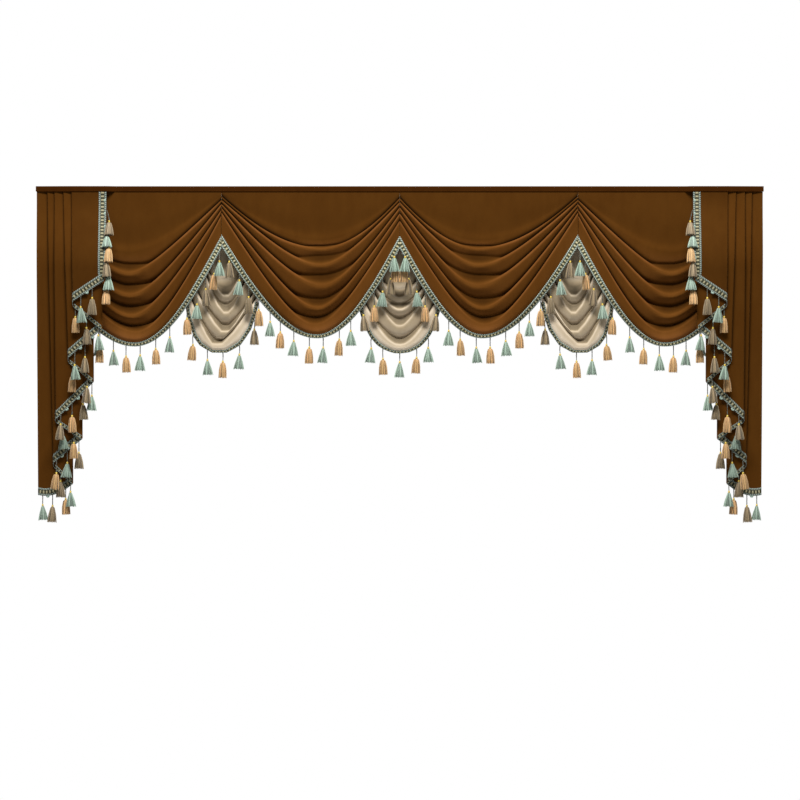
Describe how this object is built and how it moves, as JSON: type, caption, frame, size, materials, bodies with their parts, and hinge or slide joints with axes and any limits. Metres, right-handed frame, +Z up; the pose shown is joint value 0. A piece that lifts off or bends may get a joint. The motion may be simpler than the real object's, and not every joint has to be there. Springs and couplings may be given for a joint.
{
  "type": "velvet curtain valance",
  "caption": "Velvet curtain valance: draped brown swags over cream cowls, pleated tails at the ends, tassel braid along every hem, all bound into one straight heading.",
  "frame": {"origin": "middle of the heading's top edge", "axes": "+X along the heading to the viewer's right, +Y out of the back, towards the wall or window, +Z up; the front faces -Y"},
  "size_m": [2.5, 0.1385, 1.1523],
  "materials": {
    "velvet_brown": "matt cut pile",
    "velvet_cream": "soft cut pile with a sheen",
    "tassel_braid": "woven braid and twisted yarn"
  },
  "bodies": {
    "root": {"heading": "velvet_brown", "swag_outer_left": "velvet_brown", "swag_inner_left": "velvet_brown", "tail_left": "velvet_brown", "swag_outer_right": "velvet_brown", "swag_inner_right": "velvet_brown", "tail_right": "velvet_brown", "cowl_left": "velvet_cream", "cowl_right": "velvet_cream", "cowl_middle": "velvet_cream", "braid_swag_outer_left": "tassel_braid", "braid_swag_inner_left": "tassel_braid", "braid_tail_left": "tassel_braid", "braid_swag_outer_right": "tassel_braid", "braid_swag_inner_right": "tassel_braid", "braid_tail_right": "tassel_braid", "braid_cowl_left": "tassel_braid", "braid_cowl_right": "tassel_braid", "braid_cowl_middle": "tassel_braid"}
  },
  "joints": []
}
